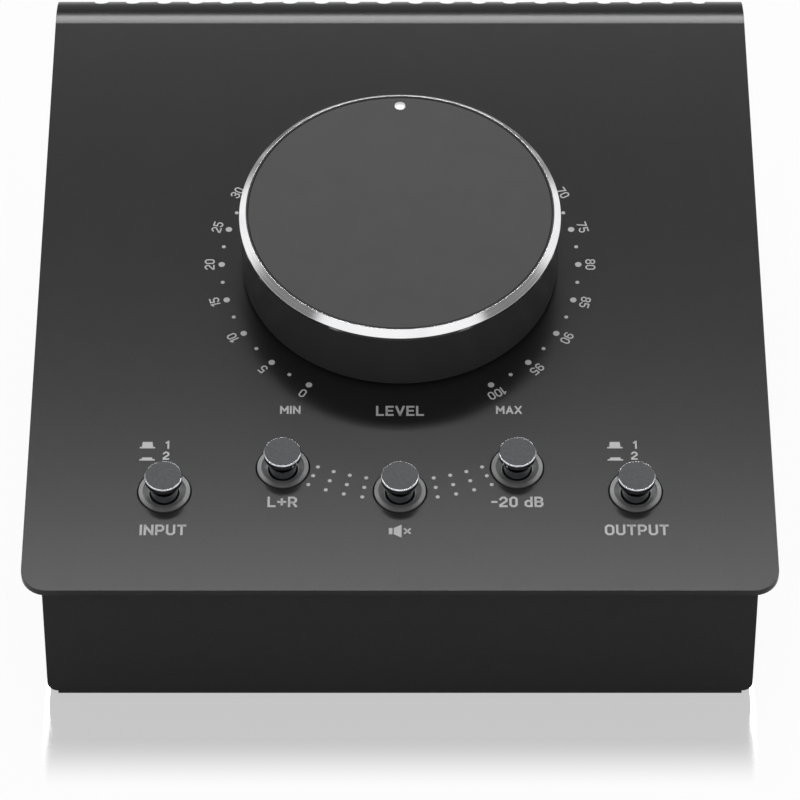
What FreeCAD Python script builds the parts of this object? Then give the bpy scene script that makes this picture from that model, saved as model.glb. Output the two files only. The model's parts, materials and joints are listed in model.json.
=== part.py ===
import FreeCAD, Part
import os
import Sketcher
from FreeCAD import Placement, Rotation, Vector

# A desktop monitor controller: a bent cover with a sloping panel over a folded tray.
# X runs to the right, Y to the back, Z up. The origin is the middle of the footprint on the table.
# Panel parts are drawn flat (x right, y up the slope, z out of the panel) and then tilted.
# Tray parts are drawn with y counted back from the panel's front edge.

doc = FreeCAD.newDocument("MonitorController")
sheet = doc.addObject("Spreadsheet::Sheet", "Sizes")

sizes = {
    # cover
    "panelWidth": 145.0,
    "panelSlope": 13.25,
    "panelFrontHeight": 30.0,
    "coverThickness": 1.5,
    "coverCorner": 5.0,
    "bendStart": 147.9,
    "bendRadius": 14.5,
    "lipLength": 5.8,
    # vent slots in the rear bend
    "ventCount": 20,
    "ventSpan": 126.9,
    "ventWidth": 3.0,
    "ventLength": 13.4,
    "ventTurn": 60.75,
    # tray, rear panel and feet
    "trayFront": 4.0,
    "trayWidth": 137.4,
    "trayBottom": 1.0,
    "traySheet": 1.2,
    "trayBend": 2.0,
    "rearWallY": 156.5,
    "rearWallThickness": 1.5,
    "rearWallTop": 56.4,
    "rearFlangeLength": 9.0,
    "footWidth": 133.4,
    "footDepth": 12.0,
    "footSetback": 0.4,
    "sheetGap": 0.15,
    # brackets between cover and tray
    "bracketLeg": 12.0,
    "bracketSheet": 1.2,
    "bracketStart": 12.0,
    "bracketEnd": 135.0,
    "coverScrewFront": 30.0,
    "coverScrewBack": 125.0,
    "coverScrewDrop": 8.0,
    "rearScrewY": 151.5,
    "rearScrewLow": 14.0,
    "rearScrewHigh": 44.0,
    # M3 screws
    "screwRadius": 1.5,
    "screwHeadRadius": 2.8,
    "screwHeadHeight": 1.6,
    "screwLength": 5.0,
    "screwPlay": 0.2,
    "threadPlay": 0.05,
    # volume knob
    "knobV": 81.4,
    "knobRadius": 31.7,
    "knobBottom": 1.2,
    "knobShoulder": 14.8,
    "knobSeat": 15.2,
    "knobSeatRadius": 30.2,
    "knobWall": 2.5,
    "knobWeb": 3.0,
    "knobBossRadius": 7.0,
    "knobBossBottom": 6.8,
    "knobBoreTop": 13.2,
    "ringRadius": 32.0,
    "ringInner": 30.3,
    "ringEdge": 30.65,
    "ringShoulder": 15.56,
    "ringTop": 16.74,
    "discRadius": 30.15,
    "discTop": 16.6,
    "pointerOffset": 28.07,
    "pointerRadius": 1.12,
    "pointerDish": 0.45,
    "grubHeight": 9.8,
    # potentiometer
    "shaftRadius": 3.0,
    "shaftBottom": -8.0,
    "shaftTop": 13.0,
    "shaftFlat": 0.6,
    "runningGap": 0.05,
    "potRadius": 12.2,
    "potFlange": 1.0,
    "bushRadius": 3.5,
    "bushTop": 6.0,
    "washerRadius": 6.0,
    "washerThickness": 0.6,
    "potNutAcross": 10.0,
    "potNutThickness": 2.0,
    # buttons: two rows, the middle pair set higher up the panel
    "buttonOuterU": 45.66,
    "buttonInnerU": 22.78,
    "buttonLowV": 23.82,
    "buttonHighV": 29.70,
    "panelHoleRadius": 5.3,
    "bezelRadius": 5.05,
    "bezelTop": 0.3,
    "bezelRingInner": 4.15,
    "bezelStep": 0.2,
    "bezelThroat": 3.1,
    "bezelThroatDepth": 0.5,
    "bezelBore": 2.95,
    "capRadius": 3.65,
    "capTop": 5.0,
    "capChamfer": 0.4,
    "capShoulder": 3.9,
    "capNeckRadius": 2.65,
    "capNeckTop": 1.6,
    "capBottom": -1.4,
    "plungerWidth": 3.0,
    "plungerBottom": -6.8,
    "plungerTop": 1.0,
    "plungerPlay": 0.05,
    "switchWidth": 8.6,
    "switchTop": -4.6,
    "switchTravel": 2.5,
    # control board, parallel to the panel
    "boardTop": -12.0,
    "boardThickness": 1.6,
    "boardWidth": 116.0,
    "boardFront": 12.0,
    "boardBack": 104.0,
    "standoffRadius": 2.5,
    "standoffU": 52.0,
    "standoffFront": 16.0,
    "standoffBack": 99.0,
    "standoffThreadDepth": 8.4,
    # rear board, level above the tray floor
    "rearBoardHeight": 5.0,
    "rearBoardWidth": 130.0,
    "rearBoardFront": 94.0,
    "rearBoardScrewU": 61.0,
    "rearBoardScrewFront": 98.0,
    "rearBoardScrewBack": 122.0,
    # jacks
    "jackFirstU": -55.5,
    "jackPitch": 22.0,
    "jackWidth": 15.6,
    "jackDepth": 28.0,
    "jackLow": 14.4,
    "jackRowPitch": 16.0,
    "jackNoseRadius": 4.6,
    "jackNoseEnd": 161.3,
    "jackBore": 3.25,
    "jackBoreDepth": 30.0,
    "jackNutAcross": 11.0,
    "jackNutThickness": 2.0,
    # power inlet and power switch
    "inletU": 34.0,
    "inletWidth": 9.0,
    "inletHeight": 11.0,
    "inletDepth": 14.0,
    "inletBore": 2.9,
    "inletPin": 1.0,
    "inletBoreDepth": 9.5,
    "powerU": 54.0,
    "powerHeight": 12.6,
    "powerBodySize": 12.0,
    "powerBodyBack": 151.8,
    "powerBodyDepth": 11.0,
    "powerCapRadius": 3.9,
    "powerCapFront": 154.2,
    "powerCapBack": 161.5,
    "powerStem": 3.0,
    "powerStemFront": 146.0,
    "powerStemOverlap": 1.0,
    "powerTravel": 2.0,
    # loose electronics
    "ribbonWidth": 20.0,
    "ribbonThickness": 0.9,
    "ribbonV": 96.0,
    "ribbonRun": 10.0,
    "ribbonBend": 12.0,
    "socketWidth": 24.0,
    "socketDepth": 8.0,
    "socketHeight": 6.0,
    "capacitorRadius": 4.0,
    "capacitorHeight": 11.0,
    "capacitorPitch": 12.0,
    "capacitorFirstU": 22.0,
    "capacitorY": 112.0,
}

for row, (alias, number) in enumerate(sizes.items(), start=1):
    sheet.set(f"A{row}", alias)
    sheet.set(f"B{row}", str(number))
    sheet.setAlias(f"B{row}", alias)
doc.recompute()


# Every size below is an expression on the sheet, such as "S.panelWidth / 2".
def full(expression):
    return str(expression).replace("S.", "Sizes.")


def value(expression):
    found = sheet.evalExpression(full(expression))
    return float(getattr(found, "Value", found))


def bind(thing, **expressions):
    for name, expression in expressions.items():
        thing.setExpression(name, full(expression))


overallDepth = "(S.bendStart * cos(S.panelSlope) + S.bendRadius * (1 + sin(S.panelSlope)))"
frontY = -value(overallDepth) / 2


def onPanel(u, v, n=0):
    # the panel's own frame: u to the right, v up the slope from its front edge, n out of it
    slope = Rotation(Vector(1, 0, 0), value("S.panelSlope"))
    frontEdge = Vector(0, frontY, value("S.panelFrontHeight"))
    return Placement(frontEdge + slope.multVec(Vector(value(u), value(v), value(n))), slope)


def onTable(x=0, y=0, z=0):
    # the tray's frame: y counted back from the panel's front edge, z up from the table
    return Placement(Vector(value(x), frontY + value(y), value(z)), Rotation())


parts = {}


def keep(node, thing, place=None):
    thing.Label = node
    if place is not None:
        thing.Placement = place
    parts[node] = thing
    return thing


near = 0.01  # two places this close, in mm, are the same


# Bodies, sketches and features
def newBody(name):
    return doc.addObject("PartDesign::Body", name + "_body")


def newSketch(body, role, offset=None):
    plane = [item for item in body.Origin.OriginFeatures if item.Role == role][0]
    sketch = body.newObject("Sketcher::SketchObject", "sketch")
    sketch.AttachmentSupport = [(plane, "")]
    sketch.MapMode = "FlatFace"
    if offset is not None:
        sketch.AttachmentOffset = offset
    return sketch


def bindPoint(sketch, geometry, corner, x, y):
    for kind, expression in (("DistanceX", x), ("DistanceY", y)):
        number = value(expression)
        index = sketch.addConstraint(Sketcher.Constraint(kind, -1, 1, geometry, corner, number))
        sketch.setExpression(f"Constraints[{index}]", full(expression))


def outline(sketch, points):
    # a closed outline of straight runs, with each corner's place bound to the sheet
    corners = [Vector(value(x), value(y), 0) for x, y in points]
    count = len(corners)
    for index in range(count):
        run = Part.LineSegment(corners[index], corners[(index + 1) % count])
        sketch.addGeometry(run, False)
    for index in range(count):
        following = (index + 1) % count
        sketch.addConstraint(Sketcher.Constraint("Coincident", index, 2, following, 1))
    for index, (x, y) in enumerate(points):
        bindPoint(sketch, index, 1, x, y)


def rectangle(sketch, left, bottom, right, top):
    outline(sketch, [(left, bottom), (right, bottom), (right, top), (left, top)])


def circle(sketch, x, y, radius):
    disc = Part.Circle(Vector(value(x), value(y), 0), Vector(0, 0, 1), value(radius))
    geometry = sketch.addGeometry(disc, False)
    bindPoint(sketch, geometry, 3, x, y)
    index = sketch.addConstraint(Sketcher.Constraint("Radius", geometry, value(radius)))
    sketch.setExpression(f"Constraints[{index}]", full(radius))


def pad(body, sketch, length, symmetric=False, reverse=False):
    feature = body.newObject("PartDesign::Pad", "pad")
    feature.Profile = sketch
    feature.Reversed = reverse
    if symmetric:
        feature.SideType = "Symmetric"
    bind(feature, Length=length)
    doc.recompute()
    return feature


def pocket(body, sketch, length=None, symmetric=False, reverse=False):
    before = body.Shape.Volume
    feature = body.newObject("PartDesign::Pocket", "pocket")
    feature.Profile = sketch
    feature.Reversed = reverse
    if symmetric:
        feature.SideType = "Symmetric"
    if length is None:
        feature.Type = "ThroughAll"
    else:
        bind(feature, Length=length)
    doc.recompute()
    if body.Shape.Volume > before - 1e-6:
        raise RuntimeError(f"a pocket in {body.Name} cut nothing")
    return feature


def fillet(body, radius, chosen):
    base = body.Tip
    names = []
    for index, edge in enumerate(base.Shape.Edges, start=1):
        if chosen(edge):
            names.append(f"Edge{index}")
    if not names:
        raise RuntimeError(f"no edge to round in {body.Name}")
    feature = body.newObject("PartDesign::Fillet", "fillet")
    feature.Base = (base, names)
    bind(feature, Radius=radius)
    doc.recompute()
    return feature


def turned(name, points):
    # a solid of revolution about z: each point is (radius, height)
    body = newBody(name)
    sketch = newSketch(body, "XZ_Plane")
    outline(sketch, points)
    feature = body.newObject("PartDesign::Revolution", "turning")
    feature.Profile = sketch
    feature.ReferenceAxis = (sketch, ["V_Axis"])
    feature.Angle = 360
    doc.recompute()
    return body


# Plain solids
def box(width, depth, height, x=0, y=0, z=0):
    # centred on x and y, standing on z
    solid = doc.addObject("Part::Box", "block")
    bind(solid, Length=width, Width=depth, Height=height)
    solid.setExpression("Placement.Base.x", full(f"({x}) - ({width}) / 2"))
    solid.setExpression("Placement.Base.y", full(f"({y}) - ({depth}) / 2"))
    solid.setExpression("Placement.Base.z", full(z))
    return solid


def rod(radius, length, place=None):
    solid = doc.addObject("Part::Cylinder", "rod")
    bind(solid, Radius=radius, Height=length)
    if place is not None:
        solid.Placement = place
    return solid


def prism(across, length, place=None):
    # a hexagon, given by the distance across its flats
    solid = doc.addObject("Part::Prism", "prism")
    solid.Polygon = 6
    bind(solid, Circumradius=f"({across}) / 2 / cos(30)", Height=length)
    if place is not None:
        solid.Placement = place
    return solid


def cut(base, tool):
    result = doc.addObject("Part::Cut", "cut")
    result.Base = base
    result.Tool = tool
    return result


def fuse(*solids):
    result = doc.addObject("Part::MultiFuse", "fuse")
    result.Shapes = list(solids)
    result.Refine = True
    return result


def group(solids):
    result = doc.addObject("Part::Compound", "group")
    result.Links = list(solids)
    return result


def aim(place, direction):
    # a placement that also turns z to the given direction
    return place.multiply(Placement(Vector(), Rotation(Vector(0, 0, 1), direction)))


def screw(length, place):
    # a pan head above z = 0 and a shank below it
    head = rod("S.screwHeadRadius", "S.screwHeadHeight")
    shank = rod("S.screwRadius", length, Placement(Vector(0, 0, -value(length)), Rotation()))
    whole = fuse(head, shank)
    whole.Placement = place
    return whole


def alongY(edge):
    direction = edge.Vertexes[-1].Point - edge.Vertexes[0].Point
    return abs(direction.x) < 1e-6 and abs(direction.z) < 1e-6


def alongX(edge):
    direction = edge.Vertexes[-1].Point - edge.Vertexes[0].Point
    return abs(direction.y) < 1e-6 and abs(direction.z) < 1e-6


def alongZ(edge):
    direction = edge.Vertexes[-1].Point - edge.Vertexes[0].Point
    return abs(direction.x) < 1e-6 and abs(direction.y) < 1e-6


buttons = {
    "source": ("-S.buttonOuterU", "S.buttonLowV"),
    "mono": ("-S.buttonInnerU", "S.buttonHighV"),
    "mute": ("0", "S.buttonLowV"),
    "dim": ("S.buttonInnerU", "S.buttonHighV"),
    "monitor": ("S.buttonOuterU", "S.buttonLowV"),
}
jacks = {
    "input_1_left": (0, 1),
    "input_1_right": (0, 0),
    "input_2_left": (1, 1),
    "input_2_right": (1, 0),
    "output_1_left": (2, 1),
    "output_1_right": (2, 0),
    "output_2_left": (3, 1),
    "output_2_right": (3, 0),
}


def jackPlace(column, row):
    return f"S.jackFirstU + {column} * S.jackPitch", f"S.jackLow + {row} * S.jackRowPitch"


# The cover's plate meets its rear lip at a virtual corner, which the bend then rounds.
# The turn from the plate to the upright lip is 90 degrees plus the slope.
turn = "(90 + S.panelSlope)"
tangent = f"(S.bendRadius * tan({turn} / 2))"
leg = f"({tangent} + S.lipLength)"
inset = f"(S.coverThickness * tan({turn} / 2))"


def topCover():
    body = newBody("top_cover")
    profile = newSketch(body, "YZ_Plane")
    corner = f"S.bendStart + {tangent}"
    lipY = f"{corner} + {leg} * cos({turn})"
    lipZ = f"-{leg} * sin({turn})"
    outline(profile, [
        ("0", "0"),
        (corner, "0"),
        (lipY, lipZ),
        (f"{lipY} - S.coverThickness * sin({turn})", f"{lipZ} - S.coverThickness * cos({turn})"),
        (f"{corner} - {inset}", "-S.coverThickness"),
        ("0", "-S.coverThickness"),
    ])
    pad(body, profile, "S.panelWidth", symmetric=True)
    cornerY = value(corner)
    innerY = value(f"{corner} - {inset}")

    def atY(y):
        return lambda edge: alongX(edge) and abs(edge.CenterOfMass.y - y) < near

    fillet(body, "S.bendRadius", atY(cornerY))
    fillet(body, "S.bendRadius - S.coverThickness", atY(innerY))
    fillet(body, "S.coverCorner", lambda edge: alongZ(edge) and abs(edge.CenterOfMass.y) < near)

    holes = newSketch(body, "XY_Plane")
    circle(holes, "0", "S.knobV", "S.bushRadius + S.screwPlay")
    for u, v in buttons.values():
        circle(holes, u, v, "S.panelHoleRadius")
    pocket(body, holes, "S.coverThickness * 2", symmetric=True)

    # one vent slot with round ends, cut square to the middle of its stretch of the bend
    turnPoint = Vector(-value("S.ventSpan") / 2, value("S.bendStart"), -value("S.bendRadius"))
    tilt = Rotation(Vector(1, 0, 0), -value("S.ventTurn"))
    out = tilt.multVec(Vector(0, 0, value("S.bendRadius")))
    slot = newSketch(body, "XY_Plane", Placement(turnPoint + out, tilt))
    half = "(S.ventLength - S.ventWidth) / 2"
    side = "S.ventWidth / 2"
    halfNumber = value(half)
    sideNumber = value(side)
    leftLow = Vector(-sideNumber, -halfNumber, 0)
    leftHigh = Vector(-sideNumber, halfNumber, 0)
    rightHigh = Vector(sideNumber, halfNumber, 0)
    rightLow = Vector(sideNumber, -halfNumber, 0)
    farEnd = Vector(0, halfNumber + sideNumber, 0)
    slot.addGeometry(Part.LineSegment(leftLow, leftHigh))
    slot.addGeometry(Part.Arc(leftHigh, farEnd, rightHigh))
    slot.addGeometry(Part.LineSegment(rightHigh, rightLow))
    slot.addGeometry(Part.Arc(rightLow, -farEnd, leftLow))
    bindPoint(slot, 0, 1, f"-{side}", f"-({half})")
    bindPoint(slot, 0, 2, f"-{side}", half)
    bindPoint(slot, 2, 1, side, half)
    bindPoint(slot, 2, 2, side, f"-({half})")
    vent = pocket(body, slot, "S.bendRadius / 2", symmetric=True)

    row = body.newObject("PartDesign::LinearPattern", "vent_row")
    row.Originals = [vent]
    acrossAxis = [item for item in body.Origin.OriginFeatures if item.Role == "X_Axis"][0]
    row.Direction = (acrossAxis, [""])
    bind(row, Length="S.ventSpan", Occurrences="S.ventCount")
    body.Tip = row
    doc.recompute()
    keep("top_cover", body, onPanel(0, 0))


def screwHoles(body, radius, spots):
    # holes across the whole width, each spot given as (y, z)
    holes = newSketch(body, "YZ_Plane")
    for y, z in spots:
        circle(holes, y, z, radius)
    pocket(body, holes, "S.panelWidth", symmetric=True)


# the two pairs of cover screws, in the tray's frame
def coverScrewSpot(v):
    y = f"({v} * cos(S.panelSlope) + S.coverScrewDrop * sin(S.panelSlope))"
    z = f"(S.panelFrontHeight + {v} * sin(S.panelSlope) - S.coverScrewDrop * cos(S.panelSlope))"
    return y, z


coverScrewSpots = [coverScrewSpot("S.coverScrewFront"), coverScrewSpot("S.coverScrewBack")]
rearScrewSpots = [("S.rearScrewY", "S.rearScrewLow"), ("S.rearScrewY", "S.rearScrewHigh")]

# limits further back and higher than any piece, for cuts that run out through the tray
beyond = f"({overallDepth} * 2)"
above = "(S.rearWallTop * 2)"

# height of the cover's underside above a place y behind the front edge, less a small gap
liner = "(S.coverThickness + S.sheetGap)"


def undersideAt(y):
    return f"(S.panelFrontHeight + ({y}) * tan(S.panelSlope) - {liner} / cos(S.panelSlope))"


def alongTrayBottom(edge):
    return alongY(edge) and abs(edge.CenterOfMass.z - value("S.trayBottom")) < near


def baseTray():
    body = newBody("base_tray")
    block = newSketch(body, "YZ_Plane")
    back = f"({overallDepth} - {liner})"
    outline(block, [
        ("S.trayFront", "S.trayBottom"),
        (back, "S.trayBottom"),
        (back, undersideAt(back)),
        ("S.trayFront", undersideAt("S.trayFront")),
    ])
    pad(body, block, "S.trayWidth", symmetric=True)
    rearTop = Vector(0, value(back), value(undersideAt(back)))
    fillet(body, f"S.bendRadius - {liner}",
           lambda edge: alongX(edge) and edge.CenterOfMass.distanceToPoint(rearTop) < near)
    fillet(body, "S.trayBend", alongTrayBottom)

    hollow = newSketch(body, "YZ_Plane")
    innerY = "S.trayFront + S.traySheet"
    floorZ = "S.trayBottom + S.traySheet"
    rectangle(hollow, innerY, floorZ, beyond, above)
    pocket(body, hollow, "S.trayWidth - 2 * S.traySheet", symmetric=True)

    behind = newSketch(body, "YZ_Plane")
    rectangle(behind, "S.rearWallY", "0", beyond, above)
    pocket(body, behind, "S.panelWidth", symmetric=True)

    screwHoles(body, "S.screwRadius + S.screwPlay", coverScrewSpots + rearScrewSpots)

    floorHoles = newSketch(body, "XY_Plane")
    for u in ("-S.rearBoardScrewU", "S.rearBoardScrewU"):
        for y in ("S.rearBoardScrewFront", "S.rearBoardScrewBack"):
            circle(floorHoles, u, y, "S.screwRadius + S.screwPlay")
    pocket(body, floorHoles, "S.rearBoardHeight * 2", symmetric=True)
    keep("base_tray", body, onTable())


def rearPanel():
    body = newBody("rear_panel")
    sheetPlane = newSketch(body, "XZ_Plane", Placement(Vector(0, 0, -value("S.rearWallY")), Rotation()))
    rectangle(sheetPlane, "-S.trayWidth / 2", "S.trayBottom", "S.trayWidth / 2", "S.rearWallTop")
    pad(body, sheetPlane, "S.rearWallThickness", reverse=True)
    fillet(body, "S.trayBend", alongTrayBottom)

    leftFlange = newSketch(body, "XZ_Plane", Placement(Vector(0, 0, -value("S.rearWallY")), Rotation()))
    outer = "(S.trayWidth / 2 - S.traySheet - S.sheetGap)"
    low = "S.rearScrewLow - S.screwHeadRadius * 2"
    high = "S.rearScrewHigh + S.screwHeadRadius * 2"
    rectangle(leftFlange, f"-{outer}", low, f"-{outer} + S.traySheet", high)
    pad(body, leftFlange, "S.rearFlangeLength")
    rightFlange = newSketch(body, "XZ_Plane", Placement(Vector(0, 0, -value("S.rearWallY")), Rotation()))
    rectangle(rightFlange, f"{outer} - S.traySheet", low, outer, high)
    pad(body, rightFlange, "S.rearFlangeLength")

    openings = newSketch(body, "XZ_Plane", Placement(Vector(0, 0, -value("S.rearWallY")), Rotation()))
    for column, row in jacks.values():
        x, z = jackPlace(column, row)
        circle(openings, x, z, "S.jackNoseRadius + S.screwPlay")
    circle(openings, "S.powerU", "S.powerHeight", "S.powerCapRadius + S.screwPlay * 2")
    pocket(body, openings, "S.rearWallThickness * 3", symmetric=True)
    inlet = newSketch(body, "XZ_Plane", Placement(Vector(0, 0, -value("S.rearWallY")), Rotation()))
    seat = "(S.rearBoardHeight + S.boardThickness)"
    rectangle(inlet, "S.inletU - S.inletWidth / 2 - S.screwPlay", f"{seat} - S.screwPlay",
              "S.inletU + S.inletWidth / 2 + S.screwPlay", f"{seat} + S.inletHeight + S.screwPlay")
    pocket(body, inlet, "S.rearWallThickness * 3", symmetric=True)
    screwHoles(body, "S.screwRadius + S.threadPlay", rearScrewSpots)
    keep("rear_panel", body, onTable())


def strip(node, y):
    solid = doc.addObject("Part::Box", "strip")
    bind(solid, Length="S.footWidth", Width="S.footDepth", Height="S.trayBottom")
    keep(node, solid, onTable("-S.footWidth / 2", y, 0))


def coverBracket(node, side):
    # an L: one leg welded under the panel, the other down inside the tray's wall
    body = newBody(node)
    outer = f"{side} * (S.trayWidth / 2 - S.traySheet - S.sheetGap)"
    inner = f"{outer} - {side} * S.bracketSheet"
    section = newSketch(body, "XZ_Plane", Placement(Vector(0, 0, -value("S.bracketStart")), Rotation()))
    top = "-S.coverThickness"
    outline(section, [
        (outer, top),
        (outer, f"{top} - S.bracketLeg"),
        (inner, f"{top} - S.bracketLeg"),
        (inner, f"{top} - S.bracketSheet"),
        (f"{outer} - {side} * S.bracketLeg", f"{top} - S.bracketSheet"),
        (f"{outer} - {side} * S.bracketLeg", top),
    ])
    pad(body, section, "S.bracketEnd - S.bracketStart", reverse=True)
    spots = [(v, "-S.coverScrewDrop") for v in ("S.coverScrewFront", "S.coverScrewBack")]
    screwHoles(body, "S.screwRadius + S.threadPlay", spots)
    keep(node, body, onPanel(0, 0))


def sideScrews(node, spots):
    screws = []
    for y, z in spots:
        for side in (1, -1):
            place = onTable(f"{side} * S.trayWidth / 2", y, z)
            screws.append(screw("S.screwLength", aim(place, Vector(side, 0, 0))))
    keep(node, group(screws))


# The knob is a turned cup on a boss, with a bright ring and a flat disc let into its top.
def knob():
    body = turned("knob_body", [
        ("0", "S.knobBoreTop"),
        ("S.shaftRadius + S.threadPlay", "S.knobBoreTop"),
        ("S.shaftRadius + S.threadPlay", "S.knobBossBottom"),
        ("S.knobBossRadius", "S.knobBossBottom"),
        ("S.knobBossRadius", "S.knobSeat - S.knobWeb"),
        ("S.knobRadius - S.knobWall", "S.knobSeat - S.knobWeb"),
        ("S.knobRadius - S.knobWall", "S.knobBottom"),
        ("S.knobRadius", "S.knobBottom"),
        ("S.knobRadius", "S.knobShoulder"),
        ("S.knobSeatRadius", "S.knobShoulder"),
        ("S.knobSeatRadius", "S.knobSeat"),
        ("0", "S.knobSeat"),
    ])
    # the grub screw's hole runs from the skirt's back into the boss
    grubHole = newSketch(body, "XZ_Plane")
    circle(grubHole, "0", "S.grubHeight", "S.screwRadius + S.threadPlay")
    pocket(body, grubHole, "S.knobRadius * 2")
    keep("knob_body", body, onPanel("0", "S.knobV"))

    ring = turned("knob_trim_ring", [
        ("S.ringInner", "S.knobShoulder"),
        ("S.ringRadius", "S.knobShoulder"),
        ("S.ringRadius", "S.ringShoulder"),
        ("S.ringEdge", "S.ringTop"),
        ("S.ringInner", "S.ringTop"),
    ])
    keep("knob_trim_ring", ring, onPanel("0", "S.knobV"))

    disc = turned("knob_top_disc", [
        ("0", "S.knobSeat"),
        ("S.discRadius", "S.knobSeat"),
        ("S.discRadius", "S.discTop"),
        ("0", "S.discTop"),
    ])
    seat = newSketch(disc, "XY_Plane", Placement(Vector(0, 0, value("S.discTop")), Rotation()))
    circle(seat, "0", "S.pointerOffset", "S.pointerRadius + S.threadPlay")
    pocket(disc, seat)
    keep("knob_top_disc", disc, onPanel("0", "S.knobV"))

    stud = turned("knob_pointer_stud", [
        ("0", "S.knobSeat"),
        ("S.pointerRadius", "S.knobSeat"),
        ("S.pointerRadius", "S.discTop"),
        ("0", "S.discTop - S.pointerDish"),
    ])
    keep("knob_pointer_stud", stud, onPanel("0", "S.knobV + S.pointerOffset"))

    grubStart = "(S.shaftRadius - S.shaftFlat)"
    grub = rod("S.screwRadius", f"S.knobBossRadius - {grubStart} - S.threadPlay")
    place = onPanel("0", f"S.knobV + {grubStart} + S.threadPlay", "S.grubHeight")
    upSlope = Placement(Vector(), Rotation(Vector(1, 0, 0), -90))
    keep("knob_grub_screw", grub, place.multiply(upSlope))


def potentiometer():
    axis = onPanel("0", "S.knobV")
    flangeBottom = "-S.coverThickness - S.potFlange"
    can = turned("pot_body", [
        ("S.shaftRadius + S.runningGap", flangeBottom),
        ("S.potRadius", flangeBottom),
        ("S.potRadius", "S.boardTop"),
        ("0", "S.boardTop"),
        ("0", "S.shaftBottom - S.potFlange"),
        ("S.shaftRadius + S.runningGap", "S.shaftBottom - S.potFlange"),
    ])
    keep("pot_body", can, axis)
    bush = turned("pot_bush", [
        ("S.shaftRadius + S.runningGap", flangeBottom),
        ("S.potRadius - S.potFlange", flangeBottom),
        ("S.potRadius - S.potFlange", "-S.coverThickness"),
        ("S.bushRadius", "-S.coverThickness"),
        ("S.bushRadius", "S.bushTop"),
        ("S.shaftRadius + S.runningGap", "S.bushTop"),
    ])
    keep("pot_bush", bush, axis)

    shaft = turned("pot_shaft", [
        ("0", "S.shaftBottom"),
        ("S.shaftRadius", "S.shaftBottom"),
        ("S.shaftRadius", "S.shaftTop"),
        ("0", "S.shaftTop"),
    ])
    # the flat faces up the slope, for the grub screw
    flat = newSketch(shaft, "XY_Plane", Placement(Vector(0, 0, value("S.shaftTop")), Rotation()))
    rectangle(flat, "-S.shaftRadius", "S.shaftRadius - S.shaftFlat", "S.shaftRadius", "S.shaftRadius * 2")
    pocket(shaft, flat, "S.shaftTop - S.knobBossBottom")
    keep("pot_shaft", shaft, axis)

    washer = turned("pot_washer", [
        ("S.bushRadius + S.threadPlay", "0"),
        ("S.washerRadius", "0"),
        ("S.washerRadius", "S.washerThickness"),
        ("S.bushRadius + S.threadPlay", "S.washerThickness"),
    ])
    keep("pot_washer", washer, axis)
    nut = cut(prism("S.potNutAcross", "S.potNutThickness"),
              rod("S.bushRadius + S.threadPlay", "S.potNutThickness"))
    keep("pot_nut", nut, onPanel("0", "S.knobV", "S.washerThickness"))


# Each button is a mushroom cap on a square plunger, guided by a sleeve in the panel.
def button(name, u, v):
    axis = onPanel(u, v)
    cap = turned(name + "_button_cap", [
        ("0", "S.capBottom"),
        ("S.capNeckRadius", "S.capBottom"),
        ("S.capNeckRadius", "S.capNeckTop"),
        ("S.capRadius", "S.capShoulder"),
        ("S.capRadius", "S.capTop - S.capChamfer"),
        ("S.capRadius - S.capChamfer", "S.capTop"),
        ("0", "S.capTop"),
    ])
    socket = newSketch(cap, "XY_Plane", Placement(Vector(0, 0, value("S.capBottom")), Rotation()))
    reach = "(S.plungerWidth / 2 + S.plungerPlay)"
    rectangle(socket, f"-{reach}", f"-{reach}", reach, reach)
    pocket(cap, socket, "S.plungerTop - S.capBottom + S.plungerPlay", reverse=True)
    keep(name + "_button_cap", cap, axis)

    plunger = doc.addObject("Part::Box", "plunger")
    bind(plunger, Length="S.plungerWidth", Width="S.plungerWidth",
         Height="S.plungerTop - S.plungerBottom")
    half = "S.plungerWidth / 2"
    keep(name + "_switch_plunger", plunger, onPanel(f"{u} - {half}", f"{v} - {half}", "S.plungerBottom"))

    bezel = turned(name + "_button_bezel", [
        ("S.bezelBore", "S.switchTop"),
        ("S.bezelRadius", "S.switchTop"),
        ("S.bezelRadius", "S.bezelTop"),
        ("S.bezelRingInner", "S.bezelTop"),
        ("S.bezelRingInner", "S.bezelTop - S.bezelStep"),
        ("S.bezelThroat", "-S.bezelThroatDepth"),
        ("S.bezelBore", "-S.bezelThroatDepth"),
    ])
    keep(name + "_button_bezel", bezel, axis)

    housing = box("S.switchWidth", "S.switchWidth", "S.switchTop - S.boardTop", 0, 0, "S.boardTop")
    guide = "(S.plungerWidth + S.plungerPlay * 4)"
    depth = "(S.switchTop - S.plungerBottom + S.switchTravel + S.plungerPlay * 4)"
    well = box(guide, guide, depth, 0, 0, f"S.switchTop - {depth}")
    keep(name + "_switch_body", cut(housing, well), axis)


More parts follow.
